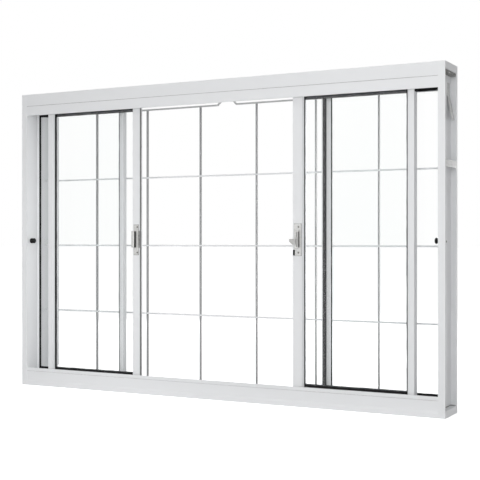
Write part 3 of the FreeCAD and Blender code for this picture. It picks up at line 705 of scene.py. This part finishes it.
dress(flankShade(), paintedShade, "right_sash")

guideForm = {"near": 0.006, "far": 0.024, "low": 0.0395, "high": 0.007, "sunk": 0.001, "proud": 0.001,
             "edge": 0.003, "sink": 0.0008, "round": 0.0003, "steps": 2}
outerLow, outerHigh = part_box("right_outer_stile")


def topGuide():  # low and high are down from the stile's top
    low = (outerHigh.x - guideForm["sunk"], outerLow.y + guideForm["near"], outerHigh.z - guideForm["low"])
    high = (outerHigh.x + guideForm["proud"], outerLow.y + guideForm["far"], outerHigh.z - guideForm["high"])
    return hollowBox("right_top_guide", low, high, towardRight, guideForm)


rightGuide = topGuide()
# the leaves don't stand evenly, so the left guide is moved to its own stile
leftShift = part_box("left_outer_stile")[0].x + outerHigh.x
leftGuide = copyPiece(rightGuide, "left_top_guide", (-leftShift, 0, 0), mirrored=True)
dress(rightGuide, rubberAndShade, "right_sash")
dress(leftGuide, rubberAndShade, "left_sash")

# Painted shade as dark lines in the grooves of the head and the sill, with each rise from the frame's foot
grooveShadeForm = {"sunk": 0.0003, "deep": 0.0006, "end": 0.021, "cuts": 60, "uneven": 0.0003}
grooveShades = [
    {"name": "head_groove_shade", "face": 0.0, "rise": 0.960, "tall": 0.0006},
    {"name": "sill_groove_shade", "face": 0.002, "rise": 0.049, "tall": 0.0003},
]
headLow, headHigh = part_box("head")


def grooveShade(shadeLine):
    face = headLow.y + shadeLine["face"]
    low = (headLow.x + grooveShadeForm["end"], face + grooveShadeForm["sunk"], shadeLine["rise"] - shadeLine["tall"] / 2)
    high = (headHigh.x - grooveShadeForm["end"], face + grooveShadeForm["deep"], shadeLine["rise"] + shadeLine["tall"] / 2)
    piece = startBox(shadeLine["name"], low, high)
    pickEdges(piece, lambda place, way: abs(way.x) > alignment)
    bpy.ops.mesh.subdivide(number_cuts=grooveShadeForm["cuts"])
    closePiece()
    ruffle(piece, pileCloud, grooveShadeForm["uneven"], direction="Y")
    return piece


for shadeLine in grooveShades:
    dress(grooveShade(shadeLine), paintedShade, "frame")

# Painted shadow under the head's ends, and foam beads at the sill's ends, in the jambs' outer channels
headEndShadowForm = {"web": 0.0096, "rim": 0.003, "sides": 0.004, "low": 0.029, "high": 0.0212,
            "cuts": 12, "uneven": 0.0015, "level": 0.85, "round": 0.0008, "steps": 2, "sharp": 1.0}


def headEndShadow():  # low and high are down from the jamb's top
    low = (jambLow.x + headEndShadowForm["web"], jambLow.y + headEndShadowForm["sides"], jambHigh.z - headEndShadowForm["low"])
    high = (jambHigh.x - headEndShadowForm["rim"], jambHigh.y - headEndShadowForm["sides"], jambHigh.z - headEndShadowForm["high"])
    piece = startBox("right_corner_foam", low, high)
    bpy.ops.mesh.select_all(action="SELECT")
    bpy.ops.mesh.subdivide(number_cuts=headEndShadowForm["cuts"])
    closePiece()
    ruffle(piece, pileCloud, headEndShadowForm["uneven"], headEndShadowForm["level"], direction="Z")
    soften(piece, headEndShadowForm, angle_limit=headEndShadowForm["sharp"])
    return piece


beadForm = {"web": 0.0095, "wide": 0.0017, "near": 0.003, "far": 0.0017, "low": 0.0211, "high": 0.0226,
            "corner": 0.004, "reach": 0.0145, "round": 0.0006, "steps": 2}


def cornerBead():  # along the web's foot, then round the corner along the rear flange
    web = jambLow.x + beadForm["web"]
    low = (web, jambLow.y + beadForm["near"], jambLow.z + beadForm["low"])
    high = (web + beadForm["wide"], jambHigh.y - beadForm["far"], jambLow.z + beadForm["high"])
    corner = jambHigh.y - beadForm["corner"]
    piece = startBox("right_corner_bead", low, high)
    bpy.ops.mesh.select_all(action="SELECT")
    bpy.ops.mesh.bisect(plane_co=(0, corner, 0), plane_no=(0, 1, 0))
    pickFaces(piece, lambda place, normal: normal.x > alignment and place.y > corner)
    bpy.ops.mesh.extrude_region_move(TRANSFORM_OT_translate={"value": (beadForm["reach"], 0, 0)})
    closePiece()
    soften(piece, beadForm)
    return piece


for piece in (headEndShadow(), cornerBead()):
    dress(mirrorPiece(piece), foamAndShade, "frame")
    dress(piece, foamAndShade, "frame")
print("small fittings set")


# Floor, light and camera
def seenRays(tree):  # 1 for rays that show the backdrop: straight, mirrored or through glass
    rays = tree.nodes.new("ShaderNodeLightPath")
    mirrored = larger(tree, rays.outputs["Is Camera Ray"], rays.outputs["Is Glossy Ray"])
    return larger(tree, mirrored, rays.outputs["Is Transmission Ray"])


floorPlate = {"half": 60.0, "colour": (0.86, 0.86, 0.86, 1.0), "rough": 0.9, "glow": 0.86}


def layFloor():
    bpy.ops.mesh.primitive_plane_add(size=2 * floorPlate["half"])
    floor = bpy.context.object
    floor.name = "studioFloor"
    finish, tree, shader = newFinish("studioFloor")
    shader.inputs["Base Color"].default_value = floorPlate["colour"]
    shader.inputs["Roughness"].default_value = floorPlate["rough"]
    shader.inputs["Specular IOR Level"].default_value = 0.0
    shader.inputs["Emission Color"].default_value = (1, 1, 1, 1)
    glow = span(tree, seenRays(tree), 0.0, floorPlate["glow"])
    tree.links.new(glow, shader.inputs["Emission Strength"])
    floor.data.materials.append(finish)


studioSky = {"fill": 0.2, "seen": 1.0}


def fillStudio():  # even light from all round, and pure white where the sky itself is seen
    world = bpy.data.worlds.new("studio")
    bpy.context.scene.world = world
    world.use_nodes = True
    tree = world.node_tree
    sky = tree.nodes["Background"]
    sky.inputs["Color"].default_value = (1, 1, 1, 1)
    strength = span(tree, seenRays(tree), studioSky["fill"], studioSky["seen"])
    tree.links.new(strength, sky.inputs["Strength"])


studioLamps = {
    "keyLight": {"power": 28.0, "size": (1.4, 1.4), "spread": 180,
                 "place": (1.3, -2.5, 0.95), "aim": (0.0, 0.0, 0.5)},
    "sideLight": {"power": 7.5, "size": (1.0, 1.0), "spread": 180,
                  "place": (3.0, -1.0, 0.6), "aim": (0.0, 0.0, 0.5)},
    "leftLight": {"power": 6.0, "size": (1.2, 1.2), "spread": 180,
                  "place": (-0.6, -2.2, 0.7), "aim": (-0.3, 0.0, 0.5)},
    "jambLight": {"power": 0.25, "size": (0.6, 0.6), "spread": 45,
                  "place": (0.6, -1.1, 0.45), "aim": (-0.85, -0.04, 0.46)},
    "footLight": {"power": 0.5, "size": (0.6, 0.6), "spread": 80,
                  "place": (-0.45, -1.3, 0.12), "aim": (-0.42, 0.0, 0.03)},
    "beadLight": {"power": 1.0, "size": (0.25, 0.9), "spread": 22,
                  "place": (1.4, 0.9, 0.5), "aim": (0.31, -0.03, 0.5)},
    "backLight": {"power": 2.0, "size": (0.6, 0.6), "spread": 90,
                  "place": (0.62, 1.3, 0.5), "aim": (-0.5, 0.0, 0.5)},
    "rearLight": {"power": 26.0, "size": (2.0, 2.0), "spread": 180,
                  "place": (-1.6, 2.6, 1.3), "aim": (0.0, 0.0, 0.5)},
    "topLight": {"power": 24.0, "size": (2.0, 2.0), "spread": 180,
                 "place": (0.0, -0.8, 3.0), "aim": (0.0, 0.0, 0.5)},
}


def hangLamp(name, lamp):
    bpy.ops.object.light_add(type="AREA", location=lamp["place"])
    light = bpy.context.object
    light.name = name
    light.data.energy = lamp["power"]
    light.data.shape = "RECTANGLE"
    light.data.size, light.data.size_y = lamp["size"]
    light.data.spread = math.radians(lamp["spread"])
    light.visible_transmission = False  # no bright patches behind the panes
    way = [a - b for a, b in zip(lamp["aim"], lamp["place"])]
    tilt = math.atan2(-way[2], math.hypot(way[0], way[1]))
    light.rotation_euler = (quarterTurn - tilt, 0, math.atan2(-way[0], way[1]))


photoView = {"lens": 78.27, "sensor": 36.0, "place": (1.6059, -2.8969, 0.4994), "turn": 27.913}


def placeCamera():
    turn = (quarterTurn, 0, math.radians(photoView["turn"]))
    bpy.ops.object.camera_add(location=photoView["place"], rotation=turn)
    camera = bpy.context.object
    camera.data.lens = photoView["lens"]
    camera.data.sensor_width = photoView["sensor"]
    bpy.context.scene.camera = camera


layFloor()
fillStudio()
for name, lamp in studioLamps.items():
    hangLamp(name, lamp)
placeCamera()
bpy.context.scene.view_settings.view_transform = "Standard"
print("studio set")
